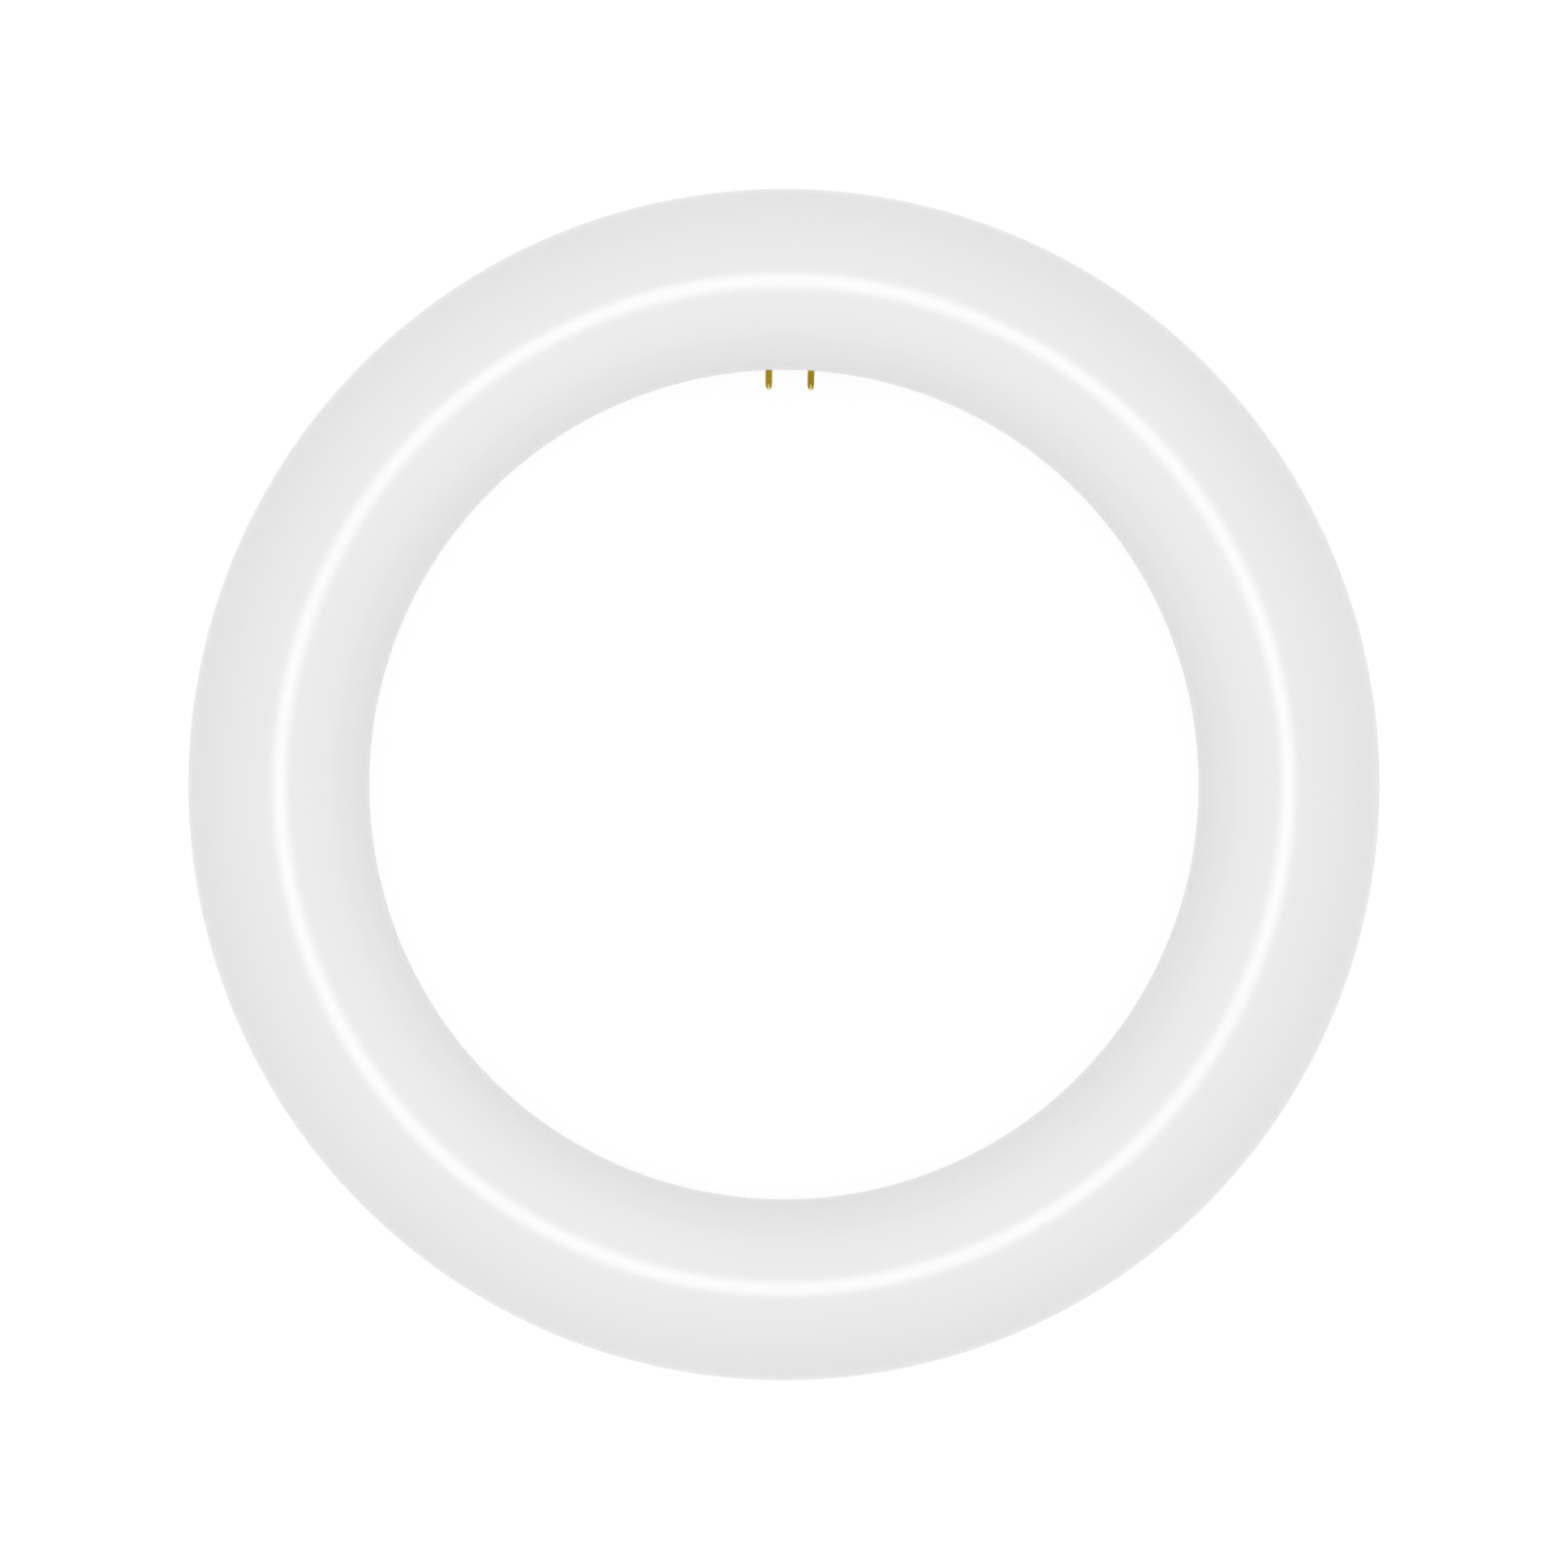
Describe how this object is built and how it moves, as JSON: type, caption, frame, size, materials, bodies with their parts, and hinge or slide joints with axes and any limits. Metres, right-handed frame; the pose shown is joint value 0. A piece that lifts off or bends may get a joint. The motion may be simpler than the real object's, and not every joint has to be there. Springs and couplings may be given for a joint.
{
  "type": "circular led tube",
  "caption": "Ring-shaped LED lamp with an opal front, a white rear housing and a pinned base that faces inwards.",
  "frame": {"origin": "centre of the ring, in the tube's middle plane", "axes": "+Z out of the light side, +Y towards the base, +X to the right as seen in the picture"},
  "size_m": [0.216, 0.216, 0.0335],
  "materials": {
    "opal_front": "smooth opal, satin",
    "white_housing": "moulded, satin",
    "white_base": "moulded, fine grain",
    "pin_insulator": "moulded, matte",
    "pin_brass": "drawn, slightly dull",
    "pin_solder": "soldered dome",
    "screw_steel": "zinc plated"
  },
  "bodies": {
    "root": {"diffuser_ring": "opal_front", "rear_housing": "white_housing", "base_body": "white_base", "pin_plate": "pin_insulator", "contact_pin_1": "pin_brass", "pin_solder_1": "pin_solder", "contact_pin_2": "pin_brass", "pin_solder_2": "pin_solder", "contact_pin_3": "pin_brass", "pin_solder_3": "pin_solder", "contact_pin_4": "pin_brass", "pin_solder_4": "pin_solder", "base_screw_left": "screw_steel", "base_screw_right": "screw_steel"}
  },
  "joints": []
}
